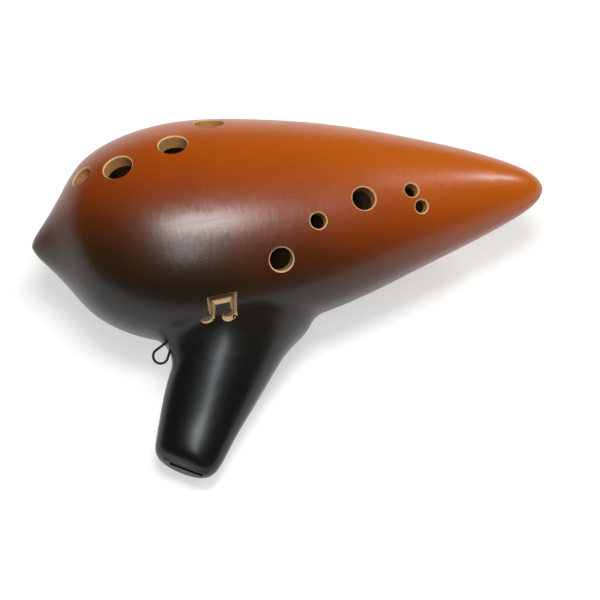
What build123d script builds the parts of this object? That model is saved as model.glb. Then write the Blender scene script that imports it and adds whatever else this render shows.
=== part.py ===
from build123d import *
import math
import os

# Transverse clay ocarina, modelled the way it is made: two cast chamber halves,
# a two-part mouthpiece stem, a windway floor, a sound-window ramp, a seam coil
# and a wire eye with its plug of clay. Millimetres. +X runs from the head nub to
# the tail, the stem points to -Y, the finger holes face +Z, the seam is z = 0.

# --- chamber: x, y of the section's centre, half depth, thickness ratio -----------
HEAD_TIP = (-88.2, -1.4)
TAIL_TIP = (87.4, 0.7)
CHAMBER = [
    (-87.2, -1.4, 2.6, 1.00),   # head nub
    (-84.5, -1.3, 6.2, 1.00),
    (-80.0, -1.0, 11.8, 0.97),
    (-75.0, -0.8, 19.2, 0.92),
    (-70.0, -0.8, 26.0, 0.865),  # head shoulder
    (-62.0, -1.1, 32.3, 0.825),
    (-51.0, -1.6, 37.1, 0.80),
    (-36.0, -1.8, 39.8, 0.78),  # belly, the widest section
    (-18.0, -1.75, 39.1, 0.78),
    (0.0, -1.4, 36.2, 0.785),
    (18.0, -0.7, 31.8, 0.805),
    (36.0, 0.2, 25.8, 0.84),
    (54.0, 0.8, 19.2, 0.885),
    (70.0, 1.0, 12.8, 0.935),
    (80.0, 0.9, 8.0, 0.97),
    (85.5, 0.75, 3.9, 1.00),    # tail tip
]
WALL = 4.8          # clay wall of the chamber
COIL_IN = 1.6       # how far the seam coil stands into the chamber
COIL_HALF = 1.8     # half the coil's height

# --- stem: x, y, z of the section's centre, half width, half thickness, yaw --------
STEM = [
    (-46.1, -81.1, -20.9, 6.8, 3.5, 30),    # mouth end
    (-45.7, -80.3, -20.7, 9.2, 5.6, 30),
    (-44.9, -78.9, -20.4, 10.7, 7.0, 29),
    (-43.3, -76.0, -19.7, 11.8, 8.0, 27),
    (-40.3, -70.0, -18.0, 12.9, 8.8, 23),
    (-34.7, -60.0, -15.0, 15.2, 11.0, 14),
    (-28.5, -50.0, -12.0, 17.5, 13.5, 6),
    (-22.7, -42.0, -9.5, 20.2, 16.5, 0),
    (-19.4, -34.0, -7.0, 23.0, 19.5, -4),   # root, inside the chamber wall
    (-18.0, -21.0, -3.0, 23.0, 21.0, -4),
]
BLEND = 9.0         # radius worked into the joint of stem and chamber
STEM_JOINT_Y = -52.0

# --- finger holes (+Z face) and thumb holes (-Z face): x, y, diameter ---------------
FINGER_HOLES = {
    "left_index": (-24.0, 28.3, 10.0),
    "left_middle": (-37.5, 16.6, 9.6),
    "left_ring": (-56.8, 10.4, 10.0),
    "left_little": (-69.3, 12.6, 7.3),
    "right_index": (-6.0, -28.4, 8.0),
    "right_middle": (7.8, -17.2, 5.5),
    "right_ring": (24.1, -9.8, 8.0),
    "right_little": (40.8, -6.4, 4.7),
    "right_little_sub": (43.6, -11.6, 4.4),
}
THUMB_HOLES = {
    "left_thumb": (-50.0, 14.0, 10.0),
    "right_thumb": (22.0, 8.0, 8.6),
}
RIM = 0.45          # bare-clay chamfer round every hole

# --- windway and sound window -------------------------------------------------------
AIR_YAW = 21.0              # the air runs straight from the mouth end to the window
AIR_EXIT = (-25.2, -30.5)   # x, y where the windway opens into the window
AIR_Z = -20.6               # its middle height
AIR_H, AIR_W = 1.6, 12.0
FLOOR_T, FLOOR_W = 2.0, 16.0
WINDOW_L = 6.0
RAMP_L, RAMP_DROP = 15.0, 9.6

# --- wire eye at the crotch of chamber and stem -------------------------------------
EYE_WIRE = 0.43         # radius of the wire
EYE_R = 2.5             # radius of the eye, to the wire's middle
EYE_CENTRE = (-49.1, -44.4, -8.1)
EYE_FACING = (-0.061, -0.496, 0.866)    # the eye's flat side looks this way
EYE_INTO = (0.656, 0.634, 0.410)        # its legs run this way into the clay
EYE_APEX = 8.0          # from the eye's centre to where its two legs would meet
EYE_GAP = 1.6           # each leg is cut this far short of that
PLUG_AT, PLUG_R, PLUG_L = 5.2, 2.4, 3.8

# --- carved motif on the stem root ---------------------------------------------------
MOTIF_AT = (-28.2, -39.4, 10.1)
MOTIF_OUT = (0.03, -0.79, 0.61)
MOTIF_DEPTH = 1.7
MOTIF_SLOPE = 24        # degrees the knife leans outwards
NOTE_HEAD = (1.9, 1.15)     # half sizes at the pocket's floor
NOTE_STROKE = 0.55


def chamber(inset):
    """The chamber's outer skin, moved in by inset."""
    rings = []
    for x, y, half, ratio in CHAMBER:
        a, b = half - inset, half * ratio - inset
        if a > 1.5 and b > 1.5:
            plane = Plane(origin=(x, y, 0), x_dir=(0, 0, -1), z_dir=(1, 0, 0))
            rings.append(plane * Ellipse(b, a))
    head = Vertex(HEAD_TIP[0] + inset * 1.25, HEAD_TIP[1], 0)
    tail = Vertex(TAIL_TIP[0] - inset * 1.9, TAIL_TIP[1], 0)
    return loft([head] + rings + [tail])


def stem_blank():
    rings = []
    for x, y, z, w, h, yaw in STEM:
        c, s = math.cos(math.radians(yaw)), math.sin(math.radians(yaw))
        plane = Plane(origin=(x, y, z), x_dir=(c, -s, 0), z_dir=(s, c, 0))
        rings.append(plane * Ellipse(w, h))
    return loft(rings)


def section_at(x):
    """Centre, half depth and half thickness of the chamber at x."""
    for low, high in zip(CHAMBER, CHAMBER[1:]):
        if low[0] <= x <= high[0]:
            t = (x - low[0]) / (high[0] - low[0])
            y, half, ratio = (low[i] + t * (high[i] - low[i]) for i in (1, 2, 3))
            return y, half, half * ratio
    raise ValueError(x)


def skin_point(x, y, side):
    """A point on the chamber's skin and the outward normal there."""
    def height(px, py):
        cy, a, b = section_at(px)
        return side * b * math.sqrt(max(0.0, 1 - ((py - cy) / a) ** 2))
    z = height(x, y)
    dx = (height(x + 0.5, y) - height(x - 0.5, y)) / 1.0
    dy = (height(x, y + 0.5) - height(x, y - 0.5)) / 1.0
    return Vector(x, y, z), Vector(-dx * side, -dy * side, side).normalized()


def drill(x, y, diameter, side):
    point, out = skin_point(x, y, side)
    plane = Plane(origin=point - out * 9, z_dir=out)
    return plane * Cylinder(diameter / 2, 18, align=(Align.CENTER, Align.CENTER, Align.MIN))


def ease_rims(shell, holes, side):
    """Chamfers the outer edge of every hole."""
    for name, (x, y, diameter) in holes.items():
        point, _ = skin_point(x, y, side)
        rims = [e for e in shell.edges()
                if (e.bounding_box().center() - point).length < 2.5
                and 0.9 * math.pi * diameter < e.length < 1.3 * math.pi * diameter]
        rims.sort(key=lambda e: (e.bounding_box().center() - point).length)
        print("rim", name, round(rims[0].length, 2))
        shell = shell.chamfer(RIM, None, rims[:1])
    return shell


def air_frame(z):
    """Plane at the windway's exit: x across the air, y along it, z up."""
    c, s = math.cos(math.radians(AIR_YAW)), math.sin(math.radians(AIR_YAW))
    return Plane(origin=(AIR_EXIT[0], AIR_EXIT[1], z), x_dir=(c, -s, 0), z_dir=(0, 0, 1))


def air_box(width, y0, y1, z0, z1):
    box = Box(width, y1 - y0, z1 - z0, align=(Align.CENTER, Align.MIN, Align.MIN))
    return air_frame(0) * Pos(0, y0, z0) * box


def motif():
    """Two beamed notes, carved with a knife held aslant, so the strokes widen outwards."""
    rise = MOTIF_DEPTH + 2.5
    plane = Plane(origin=MOTIF_AT, x_dir=Vector(1, 0, 0), z_dir=MOTIF_OUT)
    floor = plane * Pos(0, 0, -MOTIF_DEPTH)
    heads = [Pos(-4.4, -3.1) * Rot(0, 0, 22) * Ellipse(*NOTE_HEAD),
             Pos(3.0, -2.3) * Rot(0, 0, 22) * Ellipse(*NOTE_HEAD)]
    stems = [Pos(-2.6, 0.8) * Rectangle(NOTE_STROKE, 6.8),
             Pos(4.8, 1.6) * Rectangle(NOTE_STROKE, 6.8)]
    beam = make_face(Polyline(
        (-2.87, 3.1), (5.07, 3.9), (5.07, 5.0), (-2.87, 4.2), close=True))
    strokes = [extrude(floor * flat, rise, taper=-MOTIF_SLOPE)
               for flat in heads + stems + [beam]]
    carved = strokes[0]
    for stroke in strokes[1:]:
        carved = carved + stroke
    return carved


def coil_ring(outer_inset, inner_inset):
    """A flat ring that follows the chamber's wall at the seam."""
    faces = []
    for inset in (outer_inset, inner_inset):
        near, far_side = [], []
        for x, y, half, ratio in CHAMBER:
            a, b = half - inset, half * ratio - inset
            if b > 2 * COIL_HALF:
                reach = a * math.sqrt(1 - (COIL_HALF / b) ** 2)
                near.append((x, y - reach))
                far_side.append((x, y + reach))
        head = (near[0][0] - 3.2 + (inset - outer_inset), HEAD_TIP[1])
        tail = (near[-1][0] + 4.0 - (inset - outer_inset), TAIL_TIP[1])
        edge = Edge.make_spline([head] + near + [tail] + far_side[::-1], periodic=True)
        faces.append(Face(Wire([edge])))
    ring = faces[0] - faces[1]
    return extrude(ring, COIL_HALF, both=True)


def half_space(z0, z1):
    return Pos(0, 0, z0) * Box(400, 400, z1 - z0, align=(Align.CENTER, Align.CENTER, Align.MIN))


# --- the one-piece outer form -------------------------------------------------------
outer = chamber(0) + stem_blank()
joint = [e for e in outer.edges()
         if e.center().Y > -60 and e.length > 20 and abs(e.center().X) < 60]
outer = outer.fillet(BLEND, joint)
cavity = chamber(WALL)

# --- eye and plug ---------------------------------------------------------------------
into = Vector(*EYE_INTO).normalized()
facing = (Vector(*EYE_FACING) - into * Vector(*EYE_FACING).dot(into)).normalized()
across = into.cross(facing)
c = Vector(*EYE_CENTRE)
apex = c + into * EYE_APEX
leave = math.acos(EYE_R / EYE_APEX)     # where the straight legs leave the round eye
left, right = (c + into * EYE_R * math.cos(leave) + across * EYE_R * math.sin(leave) * s
               for s in (1, -1))
ends = [p + (apex - p) * (1 - EYE_GAP / (apex - p).length) for p in (left, right)]
path = Wire([
    Edge.make_line(ends[0], left),
    Edge.make_three_point_arc(left, c - into * EYE_R, right),
    Edge.make_line(right, ends[1]),
])
wire_section = Plane(origin=ends[0], z_dir=left - ends[0]) * Circle(EYE_WIRE)
eye = sweep(wire_section, path=path)
plug = Plane(origin=c + into * PLUG_AT, z_dir=into) * Cylinder(
    PLUG_R, PLUG_L, align=(Align.CENTER, Align.CENTER, Align.MIN))

# --- windway pieces -------------------------------------------------------------------
far = -70.0
slot = air_box(AIR_W, far, 0.0, AIR_Z - AIR_H / 2, AIR_Z + AIR_H / 2)
floor = air_box(FLOOR_W, far, 0.0, AIR_Z + AIR_H / 2, AIR_Z + AIR_H / 2 + FLOOR_T)
window = air_box(AIR_W, 0.0, WINDOW_L, -45.0, -8.0)
ramp_pocket = air_box(AIR_W, WINDOW_L, WINDOW_L + RAMP_L, -45.0, -8.0)
ramp_side = make_face(Polyline(
    (WINDOW_L, AIR_Z), (WINDOW_L + RAMP_L, AIR_Z - RAMP_DROP),
    (WINDOW_L + RAMP_L, -8.0), (WINDOW_L, -8.0), close=True))
side = air_frame(0)
ramp_plane = Plane(origin=side.origin - side.x_dir * (AIR_W / 2), x_dir=side.y_dir, z_dir=side.x_dir)
ramp_wedge = extrude(ramp_plane * ramp_side, AIR_W)

wall = outer - cavity
joint_cut = Pos(0, STEM_JOINT_Y, 0) * Box(400, 400, 400, align=(Align.CENTER, Align.MAX, Align.CENTER))
root = wall - joint_cut
stem = wall & joint_cut

split_z = AIR_Z + AIR_H / 2 + FLOOR_T
windway_floor = (wall & floor) - plug - eye
labium_ramp = root & ramp_wedge
seam_coil = coil_ring(WALL + 0.1, WALL + COIL_IN) & cavity

front_shell = root & half_space(0, 100)
back_shell = root & half_space(-100, 0)
for x, y, d in FINGER_HOLES.values():
    front_shell = front_shell - drill(x, y, d, 1)
front_shell = ease_rims(front_shell, FINGER_HOLES, 1)
front_shell = front_shell - motif() - plug - eye
for x, y, d in THUMB_HOLES.values():
    back_shell = back_shell - drill(x, y, d, -1)
back_shell = ease_rims(back_shell, THUMB_HOLES, -1)
back_shell = back_shell - slot - floor - window - ramp_pocket - plug - eye

stem_front = (stem & half_space(split_z, 100)) - motif()
stem_back = (stem & half_space(-100, split_z)) - slot - floor
eye_plug = plug - eye

pieces = {
    "front_shell": front_shell,
    "back_shell": back_shell,
    "stem_front": stem_front,
    "stem_back": stem_back,
    "windway_floor": windway_floor,
    "labium_ramp": labium_ramp,
    "seam_coil": seam_coil,
    "eye_plug": eye_plug,
    "lanyard_eye": eye,
}

# The row's origin is the middle of the bounding box, on the level it rests on.
everything = Compound(children=[Compound(p.wrapped) for p in pieces.values()])
box = everything.bounding_box()
shift = Pos(-(box.min.X + box.max.X) / 2, -(box.min.Y + box.max.Y) / 2, -box.min.Z)

os.makedirs("parts", exist_ok=True)
for name, piece in pieces.items():
    solids = piece.solids()
    print(name, len(solids), round(sum(s.volume for s in solids) / 1000, 3), piece.is_valid)
    placed = [shift * s for s in solids]
    export_step(placed[0] if len(placed) == 1 else Compound(children=placed),
                os.path.join("parts", name + ".step"))
print("shift", shift.position, "box", box)
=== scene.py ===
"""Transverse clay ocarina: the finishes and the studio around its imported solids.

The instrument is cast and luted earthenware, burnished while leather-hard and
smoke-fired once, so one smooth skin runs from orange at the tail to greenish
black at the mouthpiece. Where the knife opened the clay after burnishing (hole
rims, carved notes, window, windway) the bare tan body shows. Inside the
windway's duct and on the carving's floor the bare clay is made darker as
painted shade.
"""

import logging
import math
from collections.abc import Callable
from dataclasses import dataclass, field
from enum import Enum

import bpy
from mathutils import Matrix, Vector


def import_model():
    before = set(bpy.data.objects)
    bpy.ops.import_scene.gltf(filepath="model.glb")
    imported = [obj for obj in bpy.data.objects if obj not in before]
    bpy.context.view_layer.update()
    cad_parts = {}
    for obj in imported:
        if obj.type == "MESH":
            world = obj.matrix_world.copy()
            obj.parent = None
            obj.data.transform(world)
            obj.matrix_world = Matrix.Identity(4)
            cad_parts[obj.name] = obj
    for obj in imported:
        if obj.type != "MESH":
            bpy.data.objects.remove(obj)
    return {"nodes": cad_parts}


LOG = logging.getLogger("ocarina")
MM = 0.001

# Middle of the chamber's seam plane, in the row frame.
CHAMBER_ORIGIN = Vector((0.4, 23.3891, 31.0832)) * MM

# Two directions whose cosine is above this count as the same one.
ALIGNED = 0.9995


def linear(code: str) -> tuple[float, float, float, float]:
    """Turns an sRGB hex colour into linear RGBA.

    Args:
        code: Six hex digits with a leading hash.

    Returns:
        The linear colour with full alpha.
    """
    parts = [int(code[i:i + 2], 16) / 255 for i in (1, 3, 5)]
    rgb = [c / 12.92 if c <= 0.04045 else ((c + 0.055) / 1.055) ** 2.4 for c in parts]
    return (rgb[0], rgb[1], rgb[2], 1.0)


def add(tree: bpy.types.NodeTree, kind: str, inputs: dict | None = None,
        **settings: object) -> bpy.types.Node:
    """Adds one shader node with its settings, values and links.

    Args:
        tree: Node tree that receives the node.
        kind: Blender's node type name.
        inputs: Input name or index to a value or to another node's output.
        **settings: Attributes set on the node itself.

    Returns:
        The new node.
    """
    node = tree.nodes.new(kind)
    for name, value in settings.items():
        setattr(node, name, value)
    for name, value in (inputs or {}).items():
        socket = node.inputs[name]
        if isinstance(value, bpy.types.NodeSocket):
            tree.links.new(value, socket)
        else:
            socket.default_value = value
    return node


def blank(name: str) -> tuple[bpy.types.Material, bpy.types.NodeTree]:
    """Makes an empty node material.

    Args:
        name: The finish's name.

    Returns:
        The material and its node tree, cleared.
    """
    material = bpy.data.materials.new(name)
    material.use_nodes = True
    material.node_tree.nodes.clear()
    return material, material.node_tree


def surface(tree: bpy.types.NodeTree, inputs: dict) -> None:
    """Ends a finish with its surface shader.

    Args:
        tree: The material's node tree.
        inputs: The shader's inputs, as add takes them.
    """
    shader = add(tree, "ShaderNodeBsdfPrincipled", inputs)
    add(tree, "ShaderNodeOutputMaterial", {"Surface": shader.outputs["BSDF"]})


def position(tree: bpy.types.NodeTree) -> bpy.types.NodeSocket:
    """Adds the shaded point's place in its node's own frame.

    Args:
        tree: The material's node tree.

    Returns:
        The place, in metres.
    """
    return add(tree, "ShaderNodeTexCoord").outputs["Object"]


def ramp(tree: bpy.types.NodeTree, value: bpy.types.NodeSocket,
         stops: tuple[tuple[float, str], ...]) -> bpy.types.NodeSocket:
    """Adds a colour ramp.

    Args:
        tree: The material's node tree.
        value: What the ramp reads, from 0 to 1.
        stops: Position from 0 to 1 and hex colour, lowest first.

    Returns:
        The colour.
    """
    node = add(tree, "ShaderNodeValToRGB", {"Fac": value})
    elements = node.color_ramp.elements
    while len(elements) < len(stops):
        elements.new(1.0)
    for element, (place, code) in zip(elements, stops):
        element.position = place
        element.color = linear(code)
    return node.outputs["Color"]


def remap(tree: bpy.types.NodeTree, value: bpy.types.NodeSocket,
          source: tuple[float, float], target: tuple[float, float] = (0.0, 1.0),
          clamp: bool = True) -> bpy.types.NodeSocket:
    """Adds a change of range.

    Args:
        tree: The material's node tree.
        value: What is changed.
        source: The two values it comes in between.
        target: The two values it goes out between.
        clamp: Whether it stays between them.

    Returns:
        The new value.
    """
    node = add(tree, "ShaderNodeMapRange",
               {"Value": value, "From Min": source[0], "From Max": source[1],
                "To Min": target[0], "To Max": target[1]}, clamp=clamp)
    return node.outputs["Result"]


@dataclass(frozen=True)
class Pattern:
    """A random pattern in the clay or on the wire."""

    size_mm: float
    detail: float
    roughness: float

    def build(self, tree: bpy.types.NodeTree,
              place: bpy.types.NodeSocket) -> bpy.types.NodeSocket:
        """Adds the pattern.

        Args:
            tree: The material's node tree.
            place: Where it is read.

        Returns:
            Its value, mostly between 0.3 and 0.7.
        """
        node = add(tree, "ShaderNodeTexNoise",
                   {"Vector": place, "Scale": 1 / (self.size_mm * MM),
                    "Detail": self.detail, "Roughness": self.roughness})
        return node.outputs["Fac"]


@dataclass(frozen=True)
class Relief:
    """How deep a pattern is pressed into the skin, and how strongly it shades."""

    depth_mm: float
    strength: float

    def build(self, tree: bpy.types.NodeTree, height: bpy.types.NodeSocket,
              under: bpy.types.NodeSocket | None = None) -> bpy.types.NodeSocket:
        """Adds the relief.

        Args:
            tree: The material's node tree.
            height: The pattern.
            under: Another relief that it lies on.

        Returns:
            The normal.
        """
        inputs = {"Height": height, "Distance": self.depth_mm * MM,
                  "Strength": self.strength}
        if under is not None:
            inputs["Normal"] = under
        return add(tree, "ShaderNodeBump", inputs).outputs["Normal"]


class Clay(Enum):
    """The states the clay body is seen in."""

    BURNISHED = "smoked_clay"
    CUT = "bare_clay"
    BORE = "bore_clay"
    # Raw clay inside and at the seams; also painted shade on the carving's pocket floor.
    RAW = "raw_clay"
    # Painted shade: a darker bare clay for the faces inside the windway's narrow duct.
    SOOTED = "sooted_clay"


@dataclass(frozen=True)
class SmokeField:
    """Where the smoke of the firing settled.

    The pot stood with its mouthpiece in the smouldering sawdust, so the colour
    changes along one slanting direction and fades over about 95 mm. The tail
    stood clear of the smoke and stays lighter.
    """

    slant: tuple[float, float, float] = (0.258, 1.0, 0.407)
    dark_end_mm: float = -66.0
    light_end_mm: float = 38.0
    cloud: Pattern = Pattern(26.0, 2.5, 0.45)
    cloud_push: float = 0.10
    tail_lift: float = 0.12

    def build(self, tree: bpy.types.NodeTree) -> bpy.types.NodeSocket:
        """Adds the field's nodes.

        Args:
            tree: The material's node tree.

        Returns:
            A value from 0, fully smoked, to 1, clear.
        """
        place = position(tree)
        local = add(tree, "ShaderNodeVectorMath",
                    {0: place, 1: tuple(CHAMBER_ORIGIN)}, operation="SUBTRACT")
        along = add(tree, "ShaderNodeVectorMath",
                    {0: local.outputs["Vector"], 1: self.slant}, operation="DOT_PRODUCT")
        parts = add(tree, "ShaderNodeSeparateXYZ", {"Vector": local.outputs["Vector"]})
        tailward = add(tree, "ShaderNodeMath",
                       {0: parts.outputs["X"], 1: 0.0}, operation="MAXIMUM")
        lifted = add(tree, "ShaderNodeMath",
                     {0: tailward.outputs["Value"], 1: self.tail_lift,
                      2: along.outputs["Value"]}, operation="MULTIPLY_ADD")
        level = remap(tree, lifted.outputs["Value"],
                      (self.dark_end_mm * MM, self.light_end_mm * MM), clamp=False)
        push = add(tree, "ShaderNodeMath",
                   {0: self.cloud.build(tree, place), 1: self.cloud_push,
                    2: -self.cloud_push / 2}, operation="MULTIPLY_ADD")
        total = add(tree, "ShaderNodeMath", {0: level, 1: push.outputs["Value"]},
                    operation="ADD", use_clamp=True)
        return total.outputs["Value"]


@dataclass(frozen=True)
class SmokedClay:
    """Burnished, smoke-fired earthenware: a soft wax-like gloss over graded colour."""

    roughness: float = 0.32
    ior: float = 1.45
    coat: float = 0.06
    coat_roughness: float = 0.2
    grain: Pattern = Pattern(0.7, 3.0, 0.6)      # tooth of the slip under the burnish
    facet: Pattern = Pattern(7.0, 1.0, 0.4)      # flats left by the burnishing stone
    stroke: Pattern = Pattern(1.3, 2.0, 0.5)     # burnishing strokes
    stroke_draw: tuple[float, float, float] = (0.12, 1.0, 1.0)   # long along the body
    usual: tuple[float, float] = (0.3, 0.7)      # where most of a pattern's values lie
    grain_tint: tuple[float, float] = (0.94, 1.06)
    stroke_tint: tuple[float, float] = (0.985, 1.015)
    stroke_gloss: tuple[float, float] = (-0.015, 0.02)
    facet_relief: Relief = Relief(0.05, 0.7)
    grain_relief: Relief = Relief(0.012, 0.5)
    stops: tuple[tuple[float, str], ...] = (
        (0.00, "#0B0D09"),
        (0.14, "#12110C"),
        (0.26, "#1D140A"),
        (0.36, "#331A05"),
        (0.48, "#522102"),
        (0.60, "#7A3002"),
        (0.74, "#974002"),
        (0.88, "#AB4F02"),
        (1.00, "#B65A03"),
    )

    def build(self) -> bpy.types.Material:
        """Builds the finish.

        Returns:
            The material.
        """
        material, tree = blank(Clay.BURNISHED.value)
        place = position(tree)
        body = ramp(tree, SmokeField().build(tree), self.stops)
        grain = self.grain.build(tree, place)
        drawn = add(tree, "ShaderNodeMapping", {"Vector": place, "Scale": self.stroke_draw})
        stroke = self.stroke.build(tree, drawn.outputs["Vector"])
        facet = self.facet.build(tree, place)
        tint = add(tree, "ShaderNodeMath",
                   {0: remap(tree, grain, self.usual, self.grain_tint),
                    1: remap(tree, stroke, self.usual, self.stroke_tint)},
                   operation="MULTIPLY")
        colour = add(tree, "ShaderNodeVectorMath",
                     {0: body, "Scale": tint.outputs["Value"]}, operation="SCALE")
        low, high = self.stroke_gloss
        gloss = remap(tree, stroke, self.usual, (self.roughness + low, self.roughness + high))
        under = self.facet_relief.build(tree, facet)
        surface(tree, {"Base Color": colour.outputs["Vector"], "Roughness": gloss,
                       "Normal": self.grain_relief.build(tree, grain, under),
                       "IOR": self.ior, "Coat Weight": self.coat,
                       "Coat Roughness": self.coat_roughness})
        return material


@dataclass(frozen=True)
class BareClay:
    """Clay without its burnish: dry and slightly gritty, darker where smoke reached it."""

    state: Clay
    light: str
    dark: str
    smoked: str
    roughness: float = 0.72
    ior: float = 1.5
    grit: Pattern = Pattern(0.45, 4.0, 0.65)
    grit_spread: tuple[float, float] = (0.32, 0.68)
    smoke_spread: tuple[float, float] = (0.1, 0.6)
    relief: Relief = Relief(0.05, 0.8)

    def build(self) -> bpy.types.Material:
        """Builds the finish.

        Returns:
            The material.
        """
        material, tree = blank(self.state.value)
        place = position(tree)
        smoke = SmokeField().build(tree)
        grit = self.grit.build(tree, place)
        clean = add(tree, "ShaderNodeMixRGB",
                    {"Fac": remap(tree, grit, self.grit_spread),
                     "Color1": linear(self.dark), "Color2": linear(self.light)})
        colour = add(tree, "ShaderNodeMixRGB",
                     {"Fac": remap(tree, smoke, self.smoke_spread),
                      "Color1": linear(self.smoked), "Color2": clean.outputs["Color"]})
        surface(tree, {"Base Color": colour.outputs["Color"], "Roughness": self.roughness,
                       "Normal": self.relief.build(tree, grit), "IOR": self.ior})
        return material


BARE_CLAYS = (
    BareClay(Clay.CUT, light="#D9B184", dark="#B98A58", smoked="#B39A72"),
    BareClay(Clay.BORE, light="#BE8A50", dark="#966232", smoked="#7E6444"),
    # Raw clay, also used as painted shade on the carving's pocket floor.
    BareClay(Clay.RAW, light="#A8845F", dark="#80603F", smoked="#5B4A3A"),
    # Painted shade for the windway's duct: the bare clay darkened.
    BareClay(Clay.SOOTED, light="#4A3A28", dark="#33281B", smoked="#17150F"),
)


@dataclass(frozen=True)
class BlackWire:
    """Annealed iron wire, blackened in the fire: dull scale with rubbed bright spots."""

    scale: Pattern = Pattern(0.5, 3.0, 0.6)
    stops: tuple[tuple[float, str], ...] = (
        (0.30, "#161412"), (0.62, "#2A2723"), (0.78, "#4C463F"))
    metallic: float = 0.85
    worn_spread: tuple[float, float] = (0.3, 0.75)
    worn_roughness: tuple[float, float] = (0.52, 0.30)
    relief: Relief = Relief(0.04, 0.6)

    def build(self) -> bpy.types.Material:
        """Builds the finish.

        Returns:
            The material.
        """
        material, tree = blank("black_wire")
        scale = self.scale.build(tree, position(tree))
        surface(tree, {"Base Color": ramp(tree, scale, self.stops),
                       "Metallic": self.metallic,
                       "Roughness": remap(tree, scale, self.worn_spread,
                                          self.worn_roughness),
                       "Normal": self.relief.build(tree, scale)})
        return material


@dataclass(frozen=True)
class OpalTable:
    """Opal acrylic light table: matt, pale and lit from below, so shadows stay light."""

    shade: str = "#B4B4B2"
    glow: str = "#FAFAF8"
    glow_strength: float = 0.62
    roughness: float = 0.9
    specular: float = 0.1
    half_width: float = 3.0     # in metres

    def build(self) -> bpy.types.Object:
        """Lays the table under the instrument.

        Returns:
            The table's top.
        """
        material, tree = blank("opal_table")
        surface(tree, {"Base Color": linear(self.shade), "Roughness": self.roughness,
                       "Specular IOR Level": self.specular,
                       "Emission Color": linear(self.glow),
                       "Emission Strength": self.glow_strength})
        mesh = bpy.data.meshes.new("table_top")
        half = self.half_width
        corners = [(-half, -half, 0), (half, -half, 0), (half, half, 0), (-half, half, 0)]
        mesh.from_pydata(corners, [], [(0, 1, 2, 3)])
        mesh.materials.append(material)
        top = bpy.data.objects.new("table_top", mesh)
        bpy.context.scene.collection.objects.link(top)
        return top


@dataclass(frozen=True)
class Station:
    """One cross-section of the chamber, an ellipse, in millimetres."""

    x: float
    middle: float       # y of its centre
    half: float         # half its width, along y
    ratio: float        # its half thickness as a share of that


@dataclass(frozen=True)
class Bore:
    """Where one hole is drilled on a shell's plan, in millimetres."""

    name: str
    x: float
    y: float
    diameter: float


@dataclass(frozen=True)
class ToneHole:
    """One drilled hole: a point of its axis on the skin, its outward axis, its radius."""

    at: Vector
    out: Vector
    radius: float

    def polar(self, point: Vector) -> tuple[float, float, Vector]:
        """Places a point relative to the hole's axis.

        Args:
            point: A point in the row frame.

        Returns:
            Distance from the axis, height along it, and the radial direction.
        """
        arm = point - self.at
        height = arm.dot(self.out)
        radial = arm - self.out * height
        return radial.length, height, radial.normalized()


@dataclass(frozen=True)
class CarvedNotes:
    """The pair of beamed notes cut into the stem's root: where its knife cuts lie."""

    at: tuple[float, float, float] = (-28.2, -39.4, 10.1)
    out: tuple[float, float, float] = (0.03, -0.79, 0.61)
    slope: float = 24.0         # lean of the knife, in degrees
    slope_slack: float = 0.02   # allowed on that lean's sine
    floor: float = -1.6         # the pocket's floor lies below this
    reach: float = 9.0          # how far the carving runs from its middle
    rise: float = 3.0           # and how far above or below it

    def finish_of(self, point: Vector, normal: Vector) -> Clay | None:
        """Says what a face of the carving shows.

        Args:
            point: The face's middle.
            normal: The face's normal.

        Returns:
            Cut clay for a slanting wall, the darker raw clay as painted shade for the
            pocket's floor, else nothing.
        """
        out = Vector(self.out).normalized()
        arm = (point - CHAMBER_ORIGIN) / MM - Vector(self.at)
        height = arm.dot(out)
        if (arm - out * height).length > self.reach or abs(height) > self.rise:
            return None
        facing = normal.dot(out)
        lean = math.sin(math.radians(self.slope))
        if abs(facing - lean) < self.slope_slack:
            return Clay.CUT
        # The floor takes the darker raw clay: painted shade at the bottom of the pocket.
        return Clay.RAW if facing > ALIGNED and height < self.floor else None


@dataclass(frozen=True)
class Airway:
    """The flat windway and the sound window it blows across, in millimetres."""

    exit_at: tuple[float, float] = (-25.2, -30.5)
    yaw: float = 21.0           # in degrees
    width: float = 12.0
    window: float = 6.0
    ramp: float = 15.0
    side_slack: float = 2.1
    end_slack: float = 0.1
    top: float = -5.0           # all of it lies below this height

    def owns(self, point: Vector, normal: Vector) -> bool:
        """Says whether a face is a knife-cut wall of the windway or window.

        Args:
            point: The face's middle.
            normal: The face's normal.

        Returns:
            True for a cut face.
        """
        place = (point - CHAMBER_ORIGIN) / MM
        turn = math.radians(self.yaw)
        across = Vector((math.cos(turn), -math.sin(turn), 0))
        along = Vector((math.sin(turn), math.cos(turn), 0))
        arm = Vector((place.x - self.exit_at[0], place.y - self.exit_at[1], 0))
        if abs(arm.dot(across)) > self.width / 2 + self.side_slack or place.z > self.top:
            return False
        if arm.dot(along) > self.window + self.ramp + self.end_slack:
            return False
        return max(abs(normal.dot(across)), abs(normal.dot(along)),
                   abs(normal.z)) > ALIGNED


CARVED = CarvedNotes()
AIRWAY = Airway()


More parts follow.
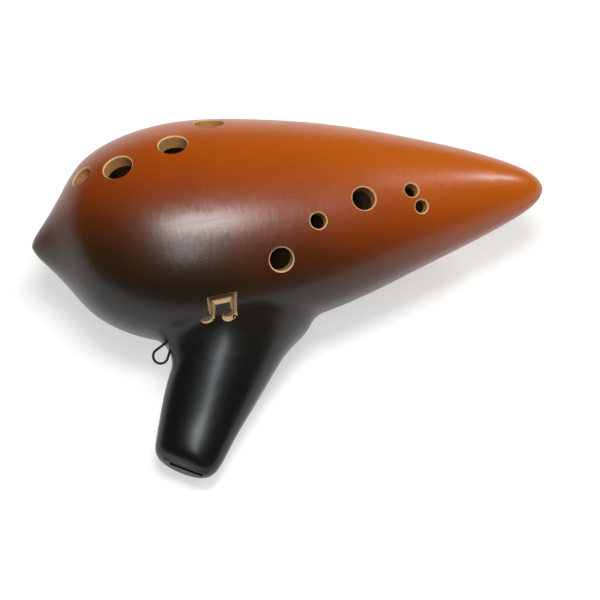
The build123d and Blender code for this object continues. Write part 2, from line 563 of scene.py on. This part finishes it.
@dataclass
class Chamber:
    """The two cast halves and the holes drilled in them, in millimetres."""

    stations: tuple[Station, ...] = (
        Station(-87.2, -1.4, 2.6, 1.00), Station(-80.0, -1.0, 11.8, 0.97),
        Station(-70.0, -0.8, 26.0, 0.865), Station(-62.0, -1.1, 32.3, 0.825),
        Station(-51.0, -1.6, 37.1, 0.80), Station(-36.0, -1.8, 39.8, 0.78),
        Station(-18.0, -1.75, 39.1, 0.78), Station(0.0, -1.4, 36.2, 0.785),
        Station(18.0, -0.7, 31.8, 0.805), Station(36.0, 0.2, 25.8, 0.84),
        Station(54.0, 0.8, 19.2, 0.885), Station(70.0, 1.0, 12.8, 0.935),
        Station(80.0, 0.9, 8.0, 0.97), Station(85.5, 0.75, 3.9, 1.00),
    )
    wall: float = 4.8
    rim: float = 0.45           # width of the bevel round a hole
    rim_slack: float = 1.02
    bore_facing: float = 0.99   # a face this square to a hole's axis is its bore
    rim_facing: float = 0.35    # and one this square is its bevel
    inner_share: float = 0.7    # share of the wall below which a face is inside
    least_half: float = 0.5
    seam_aligned: float = 0.999
    seam_slack: float = 0.01
    slope_step: float = 0.5
    fingers: tuple[Bore, ...] = (
        Bore("left_index", -24.0, 28.3, 10.0), Bore("left_middle", -37.5, 16.6, 9.6),
        Bore("left_ring", -56.8, 10.4, 10.0), Bore("left_little", -69.3, 12.6, 7.3),
        Bore("right_index", -6.0, -28.4, 8.0), Bore("right_middle", 7.8, -17.2, 5.5),
        Bore("right_ring", 24.1, -9.8, 8.0), Bore("right_little", 40.8, -6.4, 4.7),
        Bore("right_little_sub", 43.6, -11.6, 4.4),
    )
    thumbs: tuple[Bore, ...] = (
        Bore("left_thumb", -50.0, 14.0, 10.0), Bore("right_thumb", 22.0, 8.0, 8.6),
    )
    holes: list[ToneHole] = field(default_factory=list)

    def section(self, x: float) -> tuple[float, float, float]:
        """Measures the chamber's cross-section.

        Args:
            x: Where it is cut.

        Returns:
            Its middle, half its width and half its thickness.
        """
        for low, high in zip(self.stations, self.stations[1:]):
            if low.x <= x <= high.x:
                t = (x - low.x) / (high.x - low.x)
                half = low.half + t * (high.half - low.half)
                ratio = low.ratio + t * (high.ratio - low.ratio)
                return low.middle + t * (high.middle - low.middle), half, half * ratio
        return 0.0, 1.0, 1.0

    def height(self, x: float, y: float, side: int) -> float:
        """Measures how far the skin stands from the seam plane.

        Args:
            x: Place along the body.
            y: Place across it.
            side: 1 for the finger side, -1 for the thumb side.

        Returns:
            The height, negative on the thumb side.
        """
        middle, half, thick = self.section(x)
        return side * thick * math.sqrt(max(0.0, 1 - ((y - middle) / half) ** 2))

    def drill(self) -> None:
        """Works out every hole's axis from the skin's slope."""
        step = self.slope_step
        for side, group in ((1, self.fingers), (-1, self.thumbs)):
            for bore in group:
                x, y = bore.x, bore.y
                slope_x = self.height(x + step, y, side) - self.height(x - step, y, side)
                slope_y = self.height(x, y + step, side) - self.height(x, y - step, side)
                out = Vector((-slope_x * side, -slope_y * side, side)).normalized()
                at = Vector((x, y, self.height(x, y, side))) * MM + CHAMBER_ORIGIN
                self.holes.append(ToneHole(at, out, bore.diameter / 2 * MM))
                LOG.info("%s: %.1f mm", bore.name, bore.diameter)

    def finish_of(self, point: Vector, normal: Vector) -> Clay:
        """Says which state of clay a face of a shell shows.

        Args:
            point: The face's middle.
            normal: The face's normal.

        Returns:
            The face's finish.
        """
        carved = CARVED.finish_of(point, normal)
        if carved:
            return carved
        if AIRWAY.owns(point, normal):
            return Clay.BORE
        for hole in self.holes:
            away, height, radial = hole.polar(point)
            edge = hole.radius + self.rim * MM * self.rim_slack
            if away < edge and abs(height) < 2 * self.wall * MM:
                facing = -normal.dot(radial)
                if facing > self.bore_facing:
                    return Clay.BORE
                if facing > self.rim_facing:
                    return Clay.CUT
        place = (point - CHAMBER_ORIGIN) / MM
        middle, half, thick = self.section(place.x)
        inner = self.wall * self.inner_share
        deep = ((place.y - middle) / max(half - inner, self.least_half)) ** 2 \
            + (place.z / max(thick - inner, self.least_half)) ** 2
        on_seam = abs(normal.z) > self.seam_aligned and abs(place.z) < self.seam_slack
        return Clay.RAW if deep < 1.0 or on_seam else Clay.BURNISHED

    def dress(self, shell: bpy.types.Object,
              finishes: dict[Clay, bpy.types.Material]) -> None:
        """Gives a shell's faces their finishes: skin, rims, bores and raw inside.

        Args:
            shell: The shell's object, whose mesh is only re-slotted.
            finishes: The material of each state of the clay.
        """
        paint(shell, (Clay.BURNISHED, Clay.CUT, Clay.BORE, Clay.RAW), finishes,
              self.finish_of)
        even = shell.modifiers.new("even_shading", "WEIGHTED_NORMAL")
        even.keep_sharp = True


@dataclass(frozen=True)
class Mouthpiece:
    """The two stem halves with the windway's floor and the ramp of its window."""

    halves: tuple[str, str] = ("stem_front", "stem_back")
    floor: str = "windway_floor"
    ramp: str = "labium_ramp"

    def finish_of(self, point: Vector, normal: Vector) -> Clay:
        """Says which state of clay a face of a stem half shows.

        Args:
            point: The face's middle.
            normal: The face's normal.

        Returns:
            The face's finish.
        """
        # The windway's faces get its painted shade.
        if AIRWAY.owns(point, normal):
            return Clay.SOOTED
        return CARVED.finish_of(point, normal) or Clay.BURNISHED

    def dress(self, nodes: dict[str, bpy.types.Object],
              finishes: dict[Clay, bpy.types.Material]) -> None:
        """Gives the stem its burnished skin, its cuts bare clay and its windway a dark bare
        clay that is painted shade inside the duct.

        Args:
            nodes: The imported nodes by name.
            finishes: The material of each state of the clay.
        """
        for name in self.halves:
            paint(nodes[name], (Clay.BURNISHED, Clay.CUT, Clay.RAW, Clay.SOOTED), finishes,
                  self.finish_of)
        # The windway's floor is painted shade all over.
        coat(nodes[self.floor], finishes[Clay.SOOTED])
        coat(nodes[self.ramp], finishes[Clay.BORE])


def paint(node: bpy.types.Object, kinds: tuple[Clay, ...],
          finishes: dict[Clay, bpy.types.Material],
          choose: Callable[[Vector, Vector], Clay]) -> None:
    """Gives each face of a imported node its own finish.

    Args:
        node: The node's object.
        kinds: The states of clay it shows, in the order of its slots.
        finishes: The material of each state of the clay.
        choose: Says which state a face shows from its middle and normal.
    """
    mesh = node.data
    mesh.materials.clear()
    for kind in kinds:
        mesh.materials.append(finishes[kind])
    tally = dict.fromkeys(kinds, 0)
    for face in mesh.polygons:
        kind = choose(face.center, face.normal)
        face.material_index = kinds.index(kind)
        tally[kind] += 1
    LOG.info("%s: %s", node.name, {kind.value: count for kind, count in tally.items()})


def coat(node: bpy.types.Object, finish: bpy.types.Material) -> None:
    """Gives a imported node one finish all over.

    Args:
        node: The node's object.
        finish: The finish.
    """
    node.data.materials.clear()
    node.data.materials.append(finish)
    for face in node.data.polygons:
        face.material_index = 0
    LOG.info("%s: %d faces", node.name, len(node.data.polygons))


def direction(azimuth: float, elevation: float) -> Vector:
    """Works out the direction towards a viewer or light; azimuth 0 is the -Y side.

    Args:
        azimuth: Degrees round +Z, towards +X.
        elevation: Degrees above the table.

    Returns:
        The unit vector.
    """
    a, e = math.radians(azimuth), math.radians(elevation)
    return Vector((math.sin(a) * math.cos(e), -math.cos(a) * math.cos(e), math.sin(e)))


@dataclass(frozen=True)
class Softbox:
    """One rectangular studio light, aimed at the instrument; angles in degrees, metres."""

    name: str
    azimuth: float
    elevation: float
    distance: float
    width: float
    height: float
    watts: float
    tint: str = "#FFFFFF"

    def build(self, target: Vector) -> None:
        """Places the light.

        Args:
            target: What it is aimed at.
        """
        lamp = bpy.data.lights.new(self.name, "AREA")
        lamp.shape = "RECTANGLE"
        lamp.size, lamp.size_y = self.width, self.height
        lamp.energy = self.watts
        lamp.color = linear(self.tint)[:3]
        light = bpy.data.objects.new(self.name, lamp)
        bpy.context.scene.collection.objects.link(light)
        light.location = target + direction(self.azimuth, self.elevation) * self.distance
        light.rotation_euler = (target - light.location).to_track_quat("-Z", "Y").to_euler()


@dataclass(frozen=True)
class Studio:
    """Light table, soft lights, dim surround and the camera."""

    azimuth: float = -7.0
    elevation: float = 60.0
    distance: float = 1.5
    sensor: float = 36.0            # width of the camera's sensor, in millimetres
    frame_mm: float = 204.6         # width of the picture at the chamber's middle
    aside_mm: float = 3.65          # the chamber's middle sits this far left of centre
    below_mm: float = 28.5          # and this far above it
    surround: float = 0.05
    lights: tuple[Softbox, ...] = (
        Softbox("key_overhead", 10.0, 86.0, 1.0, 0.40, 0.26, 8.6),
        Softbox("key_skirt", -12.0, 64.0, 1.0, 0.14, 0.34, 1.9, "#E2EDF4"),
        Softbox("side_right", 118.0, 38.0, 1.1, 0.12, 0.22, 3.6),
    )

    def build(self) -> None:
        """Builds the table, the lights, the surround and the camera."""
        scene = bpy.context.scene
        scene.view_settings.view_transform = "Standard"
        OpalTable().build()
        for softbox in self.lights:
            softbox.build(CHAMBER_ORIGIN)
        world = bpy.data.worlds.new("dim_surround")
        world.use_nodes = True
        background = world.node_tree.nodes["Background"]
        background.inputs["Color"].default_value = (1, 1, 1, 1)
        background.inputs["Strength"].default_value = self.surround
        scene.world = world
        scene.camera = self.camera()

    def camera(self) -> bpy.types.Object:
        """Builds the camera.

        Returns:
            The camera's object.
        """
        lens = bpy.data.cameras.new("camera")
        lens.sensor_width = self.sensor
        lens.lens = lens.sensor_width * self.distance / (self.frame_mm * MM)
        camera = bpy.data.objects.new("camera", lens)
        bpy.context.scene.collection.objects.link(camera)
        back = direction(self.azimuth, self.elevation)
        turn = math.radians(self.azimuth)
        right = Vector((math.cos(turn), math.sin(turn), 0))
        up = back.cross(right)
        aim = CHAMBER_ORIGIN + right * self.aside_mm * MM - up * self.below_mm * MM
        camera.location = aim + back * self.distance
        camera.rotation_euler = back.to_track_quat("Z", "Y").to_euler()
        return camera


def main() -> None:
    """Dresses the ocarina and sets it in the studio."""
    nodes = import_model()["nodes"]
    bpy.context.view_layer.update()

    finishes = {Clay.BURNISHED: SmokedClay().build()}
    finishes.update({bare.state: bare.build() for bare in BARE_CLAYS})

    chamber = Chamber()
    chamber.drill()
    for name in ("front_shell", "back_shell"):
        chamber.dress(nodes[name], finishes)
    Mouthpiece().dress(nodes, finishes)
    coat(nodes["seam_coil"], finishes[Clay.RAW])
    coat(nodes["eye_plug"], finishes[Clay.BURNISHED])
    coat(nodes["lanyard_eye"], BlackWire().build())

    Studio().build()


if __name__ == "__main__":
    logging.basicConfig(level=logging.INFO)
    main()
